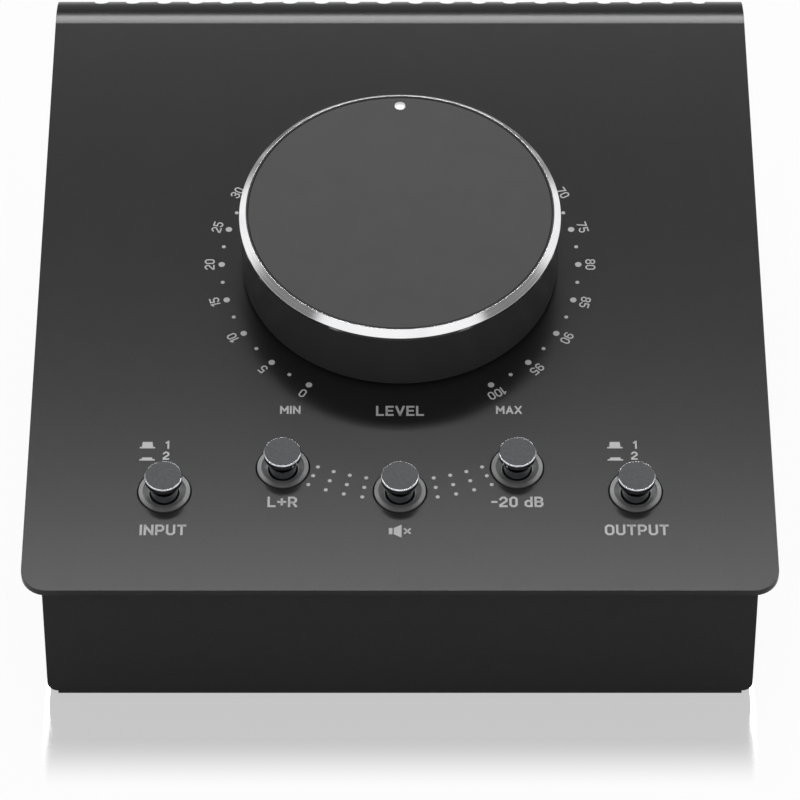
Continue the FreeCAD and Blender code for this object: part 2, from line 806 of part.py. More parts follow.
def controlBoard():
    body = newBody("control_board")
    face = newSketch(body, "XY_Plane", Placement(Vector(0, 0, value("S.boardTop")), Rotation()))
    rectangle(face, "-S.boardWidth / 2", "S.boardFront", "S.boardWidth / 2", "S.boardBack")
    pad(body, face, "S.boardThickness", reverse=True)
    corners = [(f"{side} * S.standoffU", v)
               for side in (1, -1) for v in ("S.standoffFront", "S.standoffBack")]
    holes = newSketch(body, "XY_Plane", Placement(Vector(0, 0, value("S.boardTop")), Rotation()))
    for u, v in corners:
        circle(holes, u, v, "S.screwRadius + S.screwPlay")
    pocket(body, holes)
    keep("control_board", body, onPanel(0, 0))

    standoffs = []
    screws = []
    for u, v in corners:
        height = "(-S.coverThickness - S.boardTop)"
        post = cut(rod("S.standoffRadius", height),
                   rod("S.screwRadius + S.threadPlay", "S.standoffThreadDepth"))
        post.Placement = onPanel(u, v, "S.boardTop")
        standoffs.append(post)
        under = onPanel(u, v, "S.boardTop - S.boardThickness")
        flip = Placement(Vector(), Rotation(Vector(1, 0, 0), 180))
        screws.append(screw("S.screwLength", under.multiply(flip)))
    keep("control_board_standoffs", group(standoffs))
    keep("control_board_screws", group(screws))


def rearBoard():
    body = newBody("rear_board")
    face = newSketch(body, "XY_Plane", Placement(Vector(0, 0, value("S.rearBoardHeight")), Rotation()))
    rectangle(face, "-S.rearBoardWidth / 2", "S.rearBoardFront",
              "S.rearBoardWidth / 2", "S.rearWallY - S.sheetGap")
    pad(body, face, "S.boardThickness")
    corners = [(f"{side} * S.rearBoardScrewU", y)
               for side in (1, -1) for y in ("S.rearBoardScrewFront", "S.rearBoardScrewBack")]
    holes = newSketch(body, "XY_Plane", Placement(Vector(0, 0, value("S.rearBoardHeight")), Rotation()))
    for u, y in corners:
        circle(holes, u, y, "S.screwRadius + S.screwPlay")
    pocket(body, holes, "S.boardThickness * 3", symmetric=True)
    keep("rear_board", body, onTable())

    spacers = []
    screws = []
    floorTop = "(S.trayBottom + S.traySheet)"
    boardFace = "S.rearBoardHeight + S.boardThickness"
    for u, y in corners:
        height = f"S.rearBoardHeight - {floorTop}"
        post = cut(rod("S.standoffRadius", height), rod("S.screwRadius + S.threadPlay", height))
        post.Placement = onTable(u, y, floorTop)
        spacers.append(post)
        screws.append(screw("S.screwLength", onTable(u, y, boardFace)))
    keep("rear_board_spacers", group(spacers))
    keep("rear_board_screws", group(screws))


# A jack is a moulded block behind the rear wall, with a threaded nose out through it.
def jack(name, column, row):
    x, z = jackPlace(column, row)
    block = box("S.jackWidth", "S.jackDepth", "S.jackWidth", 0, "-S.jackDepth / 2", "-S.jackWidth / 2")
    back = Rotation(Vector(1, 0, 0), -90)
    nose = rod("S.jackNoseRadius", "S.jackNoseEnd - S.rearWallY", Placement(Vector(), back))
    mouth = value("S.jackNoseEnd - S.rearWallY")
    bottom = Vector(0, mouth - value("S.jackBoreDepth"), 0)
    bore = rod("S.jackBore", "S.jackBoreDepth", Placement(bottom, back))
    keep(name + "_jack", cut(fuse(block, nose), bore), onTable(x, "S.rearWallY", z))


def jackNuts():
    nuts = []
    for column, row in jacks.values():
        x, z = jackPlace(column, row)
        nut = cut(prism("S.jackNutAcross", "S.jackNutThickness"),
                  rod("S.jackNoseRadius + S.threadPlay", "S.jackNutThickness"))
        nut.Placement = aim(onTable(x, "S.rearWallY + S.rearWallThickness", z), Vector(0, 1, 0))
        nuts.append(nut)
    keep("jack_nuts", group(nuts))


def powerInlet():
    # its open end is level with the rear wall, and the pin stands in the socket
    seat = "(S.rearBoardHeight + S.boardThickness)"
    block = box("S.inletWidth", "S.inletDepth", "S.inletHeight", 0, "-S.inletDepth / 2", 0)
    back = Rotation(Vector(1, 0, 0), -90)
    bottom = Vector(0, -value("S.inletBoreDepth"), value("S.inletHeight / 2"))
    socket = rod("S.inletBore", "S.inletBoreDepth", Placement(bottom, back))
    pin = rod("S.inletPin", "S.inletBoreDepth - S.inletPin", Placement(bottom, back))
    whole = fuse(cut(block, socket), pin)
    keep("dc_inlet", whole, onTable("S.inletU", "S.rearWallY + S.rearWallThickness", seat))


def powerSwitch():
    seat = "(S.rearBoardHeight + S.boardThickness)"
    middle = f"(S.powerHeight - {seat})"
    block = box("S.powerBodySize", "S.powerBodyDepth", "S.powerBodySize", 0, "-S.powerBodyDepth / 2", 0)
    opening = "S.powerStem + S.plungerPlay * 4"
    depth = "(S.powerBodyBack - S.powerStemFront + S.powerTravel + S.plungerPlay * 4)"
    well = box(opening, depth, opening, 0, f"-{depth} / 2", f"{middle} - ({opening}) / 2")
    keep("power_switch_body", cut(block, well), onTable("S.powerU", "S.powerBodyBack", seat))

    back = Rotation(Vector(1, 0, 0), -90)
    cap = rod("S.powerCapRadius", "S.powerCapBack - S.powerCapFront", Placement(Vector(), back))
    reach = "(S.powerCapFront - S.powerStemFront + S.powerStemOverlap)"
    stemMiddle = f"S.powerStemOverlap - {reach} / 2"
    stem = box("S.powerStem", reach, "S.powerStem", 0, stemMiddle, "-S.powerStem / 2")
    keep("power_button", fuse(cap, stem), onTable("S.powerU", "S.powerCapFront", "S.powerHeight"))


def electronics():
    seat = "(S.rearBoardHeight + S.boardThickness)"
    cans = []
    for side in (1, -1):
        for count in range(3):
            x = f"{side} * (S.capacitorFirstU + {count} * S.capacitorPitch)"
            cans.append(rod("S.capacitorRadius", "S.capacitorHeight", onTable(x, "S.capacitorY", seat)))
    keep("capacitors", group(cans))

    # the flat cable leaves the control board square to it and bends once to drop on the rear board
    under = "(S.boardTop - S.boardThickness - S.socketHeight)"
    startY = f"(S.ribbonV * cos(S.panelSlope) - {under} * sin(S.panelSlope))"
    startZ = f"(S.panelFrontHeight + S.ribbonV * sin(S.panelSlope) + {under} * cos(S.panelSlope))"
    bendY = f"({startY} + S.ribbonRun * sin(S.panelSlope))"
    bendZ = f"({startZ} - S.ribbonRun * cos(S.panelSlope))"
    endZ = f"({seat} + S.socketHeight)"
    half = "S.ribbonThickness / 2"
    lean = f"{half} * tan(S.panelSlope / 2)"
    body = newBody("ribbon_cable")
    run = newSketch(body, "YZ_Plane")
    outline(run, [
        (f"{startY} - {half} * cos(S.panelSlope)", f"{startZ} - {half} * sin(S.panelSlope)"),
        (f"{bendY} - {half}", f"{bendZ} - {lean}"),
        (f"{bendY} - {half}", endZ),
        (f"{bendY} + {half}", endZ),
        (f"{bendY} + {half}", f"{bendZ} + {lean}"),
        (f"{startY} + {half} * cos(S.panelSlope)", f"{startZ} + {half} * sin(S.panelSlope)"),
    ])
    pad(body, run, "S.ribbonWidth", symmetric=True)

    def bendEdge(side):
        place = Vector(0, value(f"{bendY} + {side} * {half}"), value(f"{bendZ} + {side} * {lean}"))
        return lambda edge: alongX(edge) and edge.CenterOfMass.distanceToPoint(place) < near

    fillet(body, "S.ribbonBend + S.ribbonThickness", bendEdge(1))
    fillet(body, "S.ribbonBend", bendEdge(-1))
    keep("ribbon_cable", body, onTable())

    upper = box("S.socketWidth", "S.socketDepth", "S.socketHeight")
    upperPlace = onPanel("0", "S.ribbonV", under)
    lower = box("S.socketWidth", "S.socketDepth", "S.socketHeight")
    upperHolder = group([upper])
    upperHolder.Placement = upperPlace
    lowerHolder = group([lower])
    lowerHolder.Placement = onTable("0", bendY, seat)
    keep("ribbon_sockets", group([upperHolder, lowerHolder]))


topCover()
baseTray()
rearPanel()
strip("front_foot_strip", "S.trayFront + S.footSetback")
strip("rear_foot_strip", "S.rearWallY - S.footSetback - S.footDepth")
coverBracket("left_cover_bracket", -1)
coverBracket("right_cover_bracket", 1)
sideScrews("cover_screws", coverScrewSpots)
sideScrews("rear_panel_screws", rearScrewSpots)
knob()
potentiometer()
for buttonName, (buttonU, buttonV) in buttons.items():
    button(buttonName, buttonU, buttonV)
controlBoard()
rearBoard()
for jackName, (jackColumn, jackRow) in jacks.items():
    jack(jackName, jackColumn, jackRow)
jackNuts()
powerInlet()
powerSwitch()
electronics()
doc.recompute()

for item in doc.Objects:
    if "Invalid" in item.State or "Error" in item.State:
        raise RuntimeError(f"{item.Label} did not compute: {item.State}")
for node, thing in parts.items():
    if thing.Shape.isNull() or not thing.Shape.isValid():
        raise RuntimeError(f"{node} has no valid shape")

os.makedirs("parts", exist_ok=True)
for node, thing in parts.items():
    thing.Shape.exportStep(f"parts/{node}.step")
    bounds = thing.Shape.BoundBox
    print(f"{node}: {len(thing.Shape.Solids)} solids, {thing.Shape.Volume / 1000:.2f} cm3, "
          f"{bounds.XLength:.1f} x {bounds.YLength:.1f} x {bounds.ZLength:.1f} mm")
print(f"{len(parts)} nodes written")
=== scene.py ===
import json
import math

import bpy
import numpy as np
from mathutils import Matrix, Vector


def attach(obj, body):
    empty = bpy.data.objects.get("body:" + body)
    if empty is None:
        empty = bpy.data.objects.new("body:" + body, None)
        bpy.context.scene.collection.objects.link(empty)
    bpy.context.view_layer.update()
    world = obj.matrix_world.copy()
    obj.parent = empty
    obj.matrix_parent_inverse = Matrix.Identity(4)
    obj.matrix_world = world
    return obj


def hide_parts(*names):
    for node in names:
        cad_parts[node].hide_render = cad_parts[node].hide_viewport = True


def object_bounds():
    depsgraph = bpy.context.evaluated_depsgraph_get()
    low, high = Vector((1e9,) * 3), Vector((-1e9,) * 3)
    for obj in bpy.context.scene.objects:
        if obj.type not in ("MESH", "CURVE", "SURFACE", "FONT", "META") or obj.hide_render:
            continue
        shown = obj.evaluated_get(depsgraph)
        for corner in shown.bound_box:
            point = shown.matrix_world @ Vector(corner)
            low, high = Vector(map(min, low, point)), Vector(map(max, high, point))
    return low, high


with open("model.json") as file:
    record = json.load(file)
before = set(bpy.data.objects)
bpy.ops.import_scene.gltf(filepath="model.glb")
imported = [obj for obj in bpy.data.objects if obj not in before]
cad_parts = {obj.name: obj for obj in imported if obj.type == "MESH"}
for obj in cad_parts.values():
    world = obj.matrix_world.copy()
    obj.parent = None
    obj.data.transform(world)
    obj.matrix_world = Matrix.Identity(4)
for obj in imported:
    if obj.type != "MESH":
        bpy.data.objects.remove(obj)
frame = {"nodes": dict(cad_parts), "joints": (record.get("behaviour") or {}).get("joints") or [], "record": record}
cadLow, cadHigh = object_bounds()
nodes = frame["nodes"]
joints = {joint["name"]: joint for joint in frame["joints"]}
mm = 0.001
print("frame loaded:", len(nodes), "nodes")

# The panel's own frame: u to the right, v up the slope from its front edge, n out of it.
# The knob's joint gives the slope and a point of the panel, and the box gives the front edge.
panelOut = np.array(joints["volume_turn"]["axis"], float)
panelOut /= np.linalg.norm(panelOut)
panelUp = np.array([0, panelOut[2], -panelOut[1]])
panelRight = np.array([1.0, 0, 0])
knobPoint = np.array(joints["volume_turn"]["pos_m"], float)
knobV = (knobPoint[1] - cadLow[1]) / panelUp[1] / mm


def onPanel(points):
    # (u, v, n) in mm to the shared frame in metres: knob point + u right + (v - knobV) up + n out
    u, v, n = (np.atleast_2d(np.asarray(points, float)) * mm).T[:, :, None]
    return knobPoint + u * panelRight + (v - knobV * mm) * panelUp + n * panelOut


# Materials
def linear(hexColor):
    # sRGB hex to linear colour
    parts = np.array([int(hexColor[i:i + 2], 16) / 255 for i in (1, 3, 5)])
    rgb = np.where(parts <= 0.04045, parts / 12.92, ((parts + 0.055) / 1.055) ** 2.4)
    return (*rgb.tolist(), 1.0)


def addNode(tree, kind, settings, inputs):
    # settings are the node's own, and each input takes a number, a colour or another node's socket
    node = tree.nodes.new(kind)
    for name, setting in settings.items():
        setattr(node, name, setting)
    for name, given in inputs.items():
        if isinstance(given, bpy.types.NodeSocket):
            tree.links.new(given, node.inputs[name])
        else:
            node.inputs[name].default_value = given
    return node


def emptyMaterial(name):
    material = bpy.data.materials.new(name)
    material.use_nodes = True
    material.node_tree.nodes.clear()
    return material


# the part of the noise's range that is used, the scale of the gloss noise against the shade's,
# and the size in mm of the clouds on turned metal
noiseSpan = {"From Min": 0.35, "From Max": 0.65}
glossScale = 0.1
cloudSize = 6.0


def speckled(name, dark, light, rough, grit, lift, shader, edge=0.0):
    # two shades, two degrees of gloss and a small relief follow noise with blobs of grit mm,
    # and sharp edges shade as if rounded by edge mm
    material = emptyMaterial(name)
    tree = material.node_tree
    place = addNode(tree, "ShaderNodeTexCoord", {}, {}).outputs["Object"]
    fine = addNode(tree, "ShaderNodeTexNoise", {},
                   {"Vector": place, "Scale": 1 / (grit * mm), "Detail": 3.0}).outputs["Fac"]
    broad = addNode(tree, "ShaderNodeTexNoise", {},
                    {"Vector": place, "Scale": glossScale / (grit * mm), "Detail": 2.0}).outputs["Fac"]
    shade = addNode(tree, "ShaderNodeMapRange", {}, {"Value": fine, **noiseSpan})
    colour = addNode(tree, "ShaderNodeMix", {"data_type": "RGBA"},
                     {0: shade.outputs[0], 6: linear(dark), 7: linear(light)})
    gloss = addNode(tree, "ShaderNodeMapRange", {},
                    {"Value": broad, **noiseSpan, "To Min": rough[0], "To Max": rough[1]})
    relief = addNode(tree, "ShaderNodeBump", {},
                     {"Height": fine, "Strength": lift[1], "Distance": lift[0] * mm})
    if edge:
        rounded = addNode(tree, "ShaderNodeBevel", {"samples": 4}, {"Radius": edge * mm})
        tree.links.new(rounded.outputs[0], relief.inputs["Normal"])
    surface = addNode(tree, "ShaderNodeBsdfPrincipled", {},
                      {"Base Color": colour.outputs[2], "Roughness": gloss.outputs[0],
                       "Normal": relief.outputs[0], **shader})
    addNode(tree, "ShaderNodeOutputMaterial", {}, {"Surface": surface.outputs[0]})
    return material


def turnedMaterial(name, dark, light, rough, pitch, shader):
    # rings about the knob's axis, one each pitch mm: distance from the axis is the length of place x axis
    material = emptyMaterial(name)
    tree = material.node_tree
    place = addNode(tree, "ShaderNodeTexCoord", {}, {}).outputs["Object"]
    fromAxis = addNode(tree, "ShaderNodeVectorMath", {"operation": "SUBTRACT"},
                       {0: place, 1: tuple(knobPoint)})
    crossed = addNode(tree, "ShaderNodeVectorMath", {"operation": "CROSS_PRODUCT"},
                      {0: fromAxis.outputs[0], 1: tuple(panelOut)})
    radius = addNode(tree, "ShaderNodeVectorMath", {"operation": "LENGTH"}, {0: crossed.outputs[0]})
    phase = addNode(tree, "ShaderNodeMath", {"operation": "MULTIPLY"},
                    {0: radius.outputs["Value"], 1: 2 * math.pi / (pitch * mm)})
    wave = addNode(tree, "ShaderNodeMath", {"operation": "SINE"}, {0: phase.outputs[0]})
    cloud = addNode(tree, "ShaderNodeTexNoise", {},
                    {"Vector": place, "Scale": 1 / (cloudSize * mm), "Detail": 2.0})
    shade = addNode(tree, "ShaderNodeMapRange", {}, {"Value": cloud.outputs["Fac"], **noiseSpan})
    colour = addNode(tree, "ShaderNodeMix", {"data_type": "RGBA"},
                     {0: shade.outputs[0], 6: linear(dark), 7: linear(light)})
    gloss = addNode(tree, "ShaderNodeMapRange", {},
                    {"Value": wave.outputs[0], "From Min": -1.0, "From Max": 1.0,
                     "To Min": rough[0], "To Max": rough[1]})
    surface = addNode(tree, "ShaderNodeBsdfPrincipled", {},
                      {"Base Color": colour.outputs[2], "Roughness": gloss.outputs[0], **shader})
    addNode(tree, "ShaderNodeOutputMaterial", {}, {"Surface": surface.outputs[0]})
    return material


metallic = {"Metallic": 1.0}
finishes = {
    # polyester powder sprayed on steel and baked: satin, an orange peel that breaks up the sheen
    "cover_paint": speckled("powderCoatedSteelCover", "#232324", "#272728", (0.198, 0.206), 0.3,
                            (0.02, 0.3), {"IOR": 1.5, "Specular IOR Level": 0.235}, 0.2),
    "tray_paint": speckled("powderCoatedSteelTray", "#2b2b2c", "#303031", (0.5, 0.58), 0.3, (0.02, 0.3),
                           {"IOR": 1.5, "Specular IOR Level": 0.16}, 0.2),
    # moulded rubber: matt and nearly black
    "rubber_feet": speckled("mouldedRubberFeet", "#131313", "#191919", (0.65, 0.75), 0.5, (0.03, 0.3),
                            {"IOR": 1.52}),
    # zinc plating: cool grey, clouded
    "zinc_steel": speckled("zincPlatedSteel", "#9a9c9e", "#b4b6b8", (0.26, 0.36), 0.8, (0.01, 0.1),
                           metallic),
    "black_screws": speckled("blackenedSteelScrews", "#242424", "#333333", (0.36, 0.46), 0.5, (0.01, 0.1),
                             metallic),
    # black anodised aluminium, bead blasted first: even, close to matt
    "knob_skirt": speckled("blackAnodisedAluminiumSkirt", "#363636", "#3a3a3a", (0.4, 0.46), 0.2,
                           (0.01, 0.1), {"IOR": 1.6, "Specular IOR Level": 0.35}),
    # diamond-cut and polished aluminium: a bright mirror
    "bright_trim": turnedMaterial("polishedAluminiumTrim", "#ececee", "#f4f4f5", (0.09, 0.14), 0.6,
                                  metallic),
    # grey anodised aluminium, faced on a lathe and blasted: flat, no glare
    "knob_face": turnedMaterial("greyAnodisedAluminiumFace", "#3e3e3e", "#404040", (0.62, 0.64), 0.8,
                                {"Metallic": 0.15, "IOR": 1.5, "Specular IOR Level": 0.3}),
    "turned_stud": speckled("blastedAluminiumStud", "#e2e2e4", "#ececee", (0.42, 0.5), 0.3, (0.004, 0.05),
                            {"Metallic": 0.35}),
    "brass_bush": speckled("turnedBrassBush", "#b08d45", "#c8a85e", (0.26, 0.34), 0.4, (0.01, 0.05),
                           metallic),
    # ABS plated dark nickel: a mirror that darkens what it shows
    "button_cap": speckled("darkNickelPlatedAbsCap", "#b4b6ba", "#bcbec2", (0.02, 0.028), 0.6, (0.001, 0.0),
                           metallic),
    # satin anodised aluminium: grey all round, no glare
    "bezel_metal": speckled("satinAluminiumSleeve", "#6e6e6e", "#767676", (0.46, 0.54), 0.2, (0.01, 0.08),
                            {"Metallic": 0.4}),
    "switch_plastic": speckled("mouldedNylonSwitch", "#17181a", "#1d1f22", (0.4, 0.5), 0.3, (0.01, 0.15),
                               {"IOR": 1.53}),
    # glass-fibre board under green solder resist
    "board_laminate": speckled("solderResistBoard", "#0d3a1e", "#124a28", (0.3, 0.4), 1.5, (0.01, 0.1),
                               {"IOR": 1.55}),
    "capacitor_can": speckled("sleevedCapacitorCan", "#20253f", "#293052", (0.3, 0.4), 0.5, (0.01, 0.1),
                              {"IOR": 1.52}),
    "ribbon_grey": speckled("vinylRibbonCable", "#8b8b8b", "#9a9a9a", (0.4, 0.5), 0.6, (0.02, 0.2),
                            {"IOR": 1.52}),
    # moulded ABS: black with a fine spark-eroded grain
    "black_plastic": speckled("mouldedAbsBlack", "#141415", "#1b1b1c", (0.36, 0.46), 0.4, (0.02, 0.2),
                              {"IOR": 1.54}),
}
# screen-printed epoxy ink: flat light grey, a little chalky
ink = speckled("screenPrintedInk", "#c2c2c2", "#cccccc", (0.5, 0.6), 0.15, (0.005, 0.1), {"IOR": 1.5})

slotOf = {entry["node"]: entry["material_slot"] for entry in frame["record"]["subparts"]}
for node, thing in nodes.items():
    thing.data.materials.clear()
    thing.data.materials.append(finishes[slotOf[node]])
print("materials made:", len(finishes) + 1)


# New pieces
def makePiece(name, points, faces, material, body, standsFor, smooth):
    mesh = bpy.data.meshes.new(name)
    mesh.from_pydata(np.asarray(points).tolist(), [], [list(face) for face in faces])
    mesh.polygons.foreach_set("use_smooth", np.full(len(mesh.polygons), smooth))
    mesh.materials.append(material)
    mesh.update()
    piece = bpy.data.objects.new(name, mesh)
    bpy.context.scene.collection.objects.link(piece)
    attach(piece, body)
    if standsFor:
        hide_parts(standsFor)
    return piece


def roundedProfile(corners, closed, steps=5):
    # corners are (radius, height, round): each rounded one becomes an arc that touches both its runs,
    # with a point on each run close by, which keeps the runs flat to the eye
    places = np.array([corner[:2] for corner in corners], float)
    out = []
    for index, (here, (_, _, size)) in enumerate(zip(places, corners)):
        if size == 0 or (not closed and index in (0, len(places) - 1)):
            out.append(here[None])
            continue
        before = places[index - 1] - here
        after = places[(index + 1) % len(places)] - here
        before /= np.linalg.norm(before)
        after /= np.linalg.norm(after)
        half = math.acos(np.clip(before @ after, -1, 1)) / 2
        reach = size / math.tan(half)
        middle = here + (before + after) / np.linalg.norm(before + after) * size / math.sin(half)
        start, end = here + before * reach - middle, here + after * reach - middle
        first = math.atan2(start[1], start[0])
        swing = (math.atan2(end[1], end[0]) - first + np.pi) % (2 * np.pi) - np.pi
        turn = first + swing * np.linspace(0, 1, steps + 1)
        arc = middle + size * np.stack([np.cos(turn), np.sin(turn)], 1)
        run = reach + size / 3
        out.append(np.vstack([here + before * run, arc, here + after * run]))
    return np.concatenate(out)


def turnedSurface(profile, closed, around):
    # a profile (r, h) carried round the axis: point = (r cos t, r sin t, h), a pole where r is 0
    turn = np.linspace(0, 2 * np.pi, around, endpoint=False)
    ring = np.arange(around)
    rings = profile[profile[:, 0] > 0]
    r, h = rings[:, 0][:, None], rings[:, 1][:, None]
    points = np.stack([r * np.cos(turn), r * np.sin(turn), h + 0 * turn], 2).reshape(-1, 3)
    rows = np.arange(len(rings) if closed else len(rings) - 1)[:, None]
    near, far = rows * around, (rows + 1) % len(rings) * around
    following = (ring + 1) % around
    faces = np.stack([near + ring, near + following, far + following, far + ring], 2).reshape(-1, 4).tolist()
    if not closed:
        low, high = len(points), len(points) + 1
        points = np.vstack([points, [0, 0, profile[0, 1]], [0, 0, profile[-1, 1]]])
        last = (len(rings) - 1) * around
        faces += np.stack([ring * 0 + low, following, ring], 1).tolist()
        faces += np.stack([last + ring, last + following, ring * 0 + high], 1).tolist()
    return points, faces


def turnedPiece(name, corners, place, material, body, closed=False, around=160):
    points, faces = turnedSurface(roundedProfile(corners, closed), closed, around)
    points = onPanel(points + np.array([*place, 0]))
    return makePiece(name, points, faces, material, body, name.replace("_look", ""), True)


# The bright ring round the knob's top
ringLook = {"radius": 32.0, "inner": 30.3, "edge": 30.65, "low": 14.8, "shoulder": 15.56, "top": 16.74,
            "round": 0.07, "crest": 0.03, "lip": 0.02, "seat": 16.5, "face": 16.6, "around": 320}
turnedPiece("knob_trim_ring_look", [
    (ringLook["inner"], ringLook["low"], ringLook["lip"]),
    (ringLook["radius"], ringLook["low"], ringLook["round"]),
    (ringLook["radius"], ringLook["shoulder"], ringLook["round"]),
    (ringLook["edge"], ringLook["top"], ringLook["crest"]),
    (ringLook["edge"], ringLook["seat"], ringLook["lip"]),
    (ringLook["inner"], ringLook["seat"], ringLook["lip"]),
], (0, knobV), finishes["bright_trim"], "volume_knob", True, ringLook["around"])

# The grey face runs out over the ring's seat to the foot of the bright edge
rimInner = ringLook["inner"] - ringLook["lip"] / 2
rimPoints, rimFaces = turnedSurface(roundedProfile([
    (rimInner, ringLook["seat"], 0),
    (ringLook["edge"], ringLook["seat"], 0),
    (ringLook["edge"], ringLook["face"], ringLook["lip"]),
    (rimInner, ringLook["face"], 0),
], True), True, ringLook["around"])
makePiece("knob_face_rim", onPanel(rimPoints + np.array([0, knobV, 0])), rimFaces, finishes["knob_face"],
          "volume_knob", None, True)

# The pointer stud: a dish with a thin rim, let into the face
studLook = {"offset": 28.07, "radius": 1.12, "bottom": 15.2, "top": 16.6, "rim": 0.06, "dish": 0.25,
            "rings": 9, "footRound": 0.02, "topRound": 0.05, "lipRound": 0.03, "around": 48}
dishReach = studLook["radius"] - studLook["rim"]
dishRadii = np.linspace(1, 0, studLook["rings"])[1:]
dishProfile = [(dishReach * r, studLook["top"] - studLook["dish"] * (1 - r * r), 0) for r in dishRadii]
turnedPiece("knob_pointer_stud_look", [
    (0, studLook["bottom"], 0),
    (studLook["radius"], studLook["bottom"], studLook["footRound"]),
    (studLook["radius"], studLook["top"], studLook["topRound"]),
    (dishReach, studLook["top"], studLook["lipRound"]),
    *dishProfile,
], (0, knobV + studLook["offset"]), finishes["turned_stud"], "volume_knob", False,
    studLook["around"])

# The push buttons: a mushroom cap in a sleeve with a funnel
buttonLook = {
    "spots": {"source": (-45.66, 23.82), "mono": (-22.78, 29.70), "mute": (0, 23.82),
              "dim": (22.78, 29.70), "monitor": (45.66, 23.82)},
    "capRadius": 3.65, "capTop": 5.0, "capChamfer": 0.15, "capRound": 0.07,
    "shoulder": 3.9, "neck": 2.65, "neckTop": 1.6,
    "capBottom": -1.4, "sleeveRadius": 5.05, "sleeveTop": 0.3, "flatInner": 4.15, "step": 0.2,
    "throat": 3.1, "throatDepth": 0.5, "bore": 2.95, "sleeveBottom": -4.6,
    "footRound": 0.05, "neckRound": 0.2, "rimRound": 0.12, "stepRound": 0.04, "boreRound": 0.02,
    "capAround": 128, "sleeveAround": 96,
}


def makeButton(name, place, look):
    turnedPiece(name + "_button_cap_look", [
        (0, look["capBottom"], 0),
        (look["neck"], look["capBottom"], look["footRound"]),
        (look["neck"], look["neckTop"], look["neckRound"]),
        (look["capRadius"], look["shoulder"], look["rimRound"]),
        (look["capRadius"], look["capTop"] - look["capChamfer"], look["capRound"]),
        (look["capRadius"] - look["capChamfer"], look["capTop"], look["capRound"]),
        (0, look["capTop"], 0),
    ], place, finishes["button_cap"], name + "_button", False, look["capAround"])
    turnedPiece(name + "_button_bezel_look", [
        (look["bore"], look["sleeveBottom"], look["footRound"]),
        (look["sleeveRadius"], look["sleeveBottom"], look["footRound"]),
        (look["sleeveRadius"], look["sleeveTop"], look["rimRound"]),
        (look["flatInner"], look["sleeveTop"], look["stepRound"]),
        (look["flatInner"], look["sleeveTop"] - look["step"], look["stepRound"]),
        (look["throat"], -look["throatDepth"], look["footRound"]),
        (look["bore"], -look["throatDepth"], look["boreRound"]),
    ], place, finishes["bezel_metal"], "housing", True, look["sleeveAround"])


for buttonName, buttonSpot in buttonLook["spots"].items():
    makeButton(buttonName, buttonSpot, buttonLook)
print("knob and buttons turned")

# Print on the panel, a hair above the paint
printLook = {"lift": 0.03}


def printed(name, shapes):
    # flat shapes, each (points in u v mm, faces), joined in one piece
    starts = np.cumsum([0, *(len(points) for points, _ in shapes)])
    flat = np.concatenate([points for points, _ in shapes])
    faces = [[start + corner for corner in face] for start, (_, some) in zip(starts, shapes) for face in some]
    points = onPanel(np.column_stack([flat, np.full(len(flat), printLook["lift"])]))
    makePiece(name, points, faces, ink, "housing", None, False)


def dots(centres, diameters, corners=20):
    # one many-sided face for each dot: centre + d / 2 (cos t, sin t)
    turn = np.linspace(0, 2 * np.pi, corners, endpoint=False)
    rim = np.stack([np.cos(turn), np.sin(turn)], 1)
    flat = np.asarray(centres)[:, None] + rim * np.asarray(diameters)[:, None, None] / 2
    return flat.reshape(-1, 2), np.arange(flat.shape[0] * corners).reshape(-1, corners).tolist()


def strokes(line, width):
    # a bent line drawn with a square pen: each corner moves out by half the width along its mitre,
    # (n1 + n2) / (1 + n1 . n2). A line that ends where it starts is closed, and others gain
    # half a pen at each end
    line = np.array(line, float)
    closed = np.allclose(line[0], line[-1])
    along = np.diff(line, axis=0)
    along /= np.linalg.norm(along, axis=1)[:, None]
    if not closed:
        line[0] -= along[0] * width / 2
        line[-1] += along[-1] * width / 2
    beside = np.stack([-along[:, 1], along[:, 0]], 1)
    before = np.vstack([beside[-1:] if closed else beside[:1], beside])
    after = np.vstack([beside, beside[:1] if closed else beside[-1:]])
    out = (before + after) / (1 + (before * after).sum(1))[:, None] * width / 2
    points = np.vstack([line - out, line + out])
    left = np.arange(len(line) - 1)
    right = left + len(line)
    return points, np.stack([left, left + 1, right + 1, right], 1).tolist()


def loop(wide, low, high, cut):
    # a box with its corners cut off
    return [(cut, low), (wide - cut, low), (wide, low + cut), (wide, high - cut),
            (wide - cut, high), (cut, high), (0, high - cut), (0, low + cut), (cut, low)]


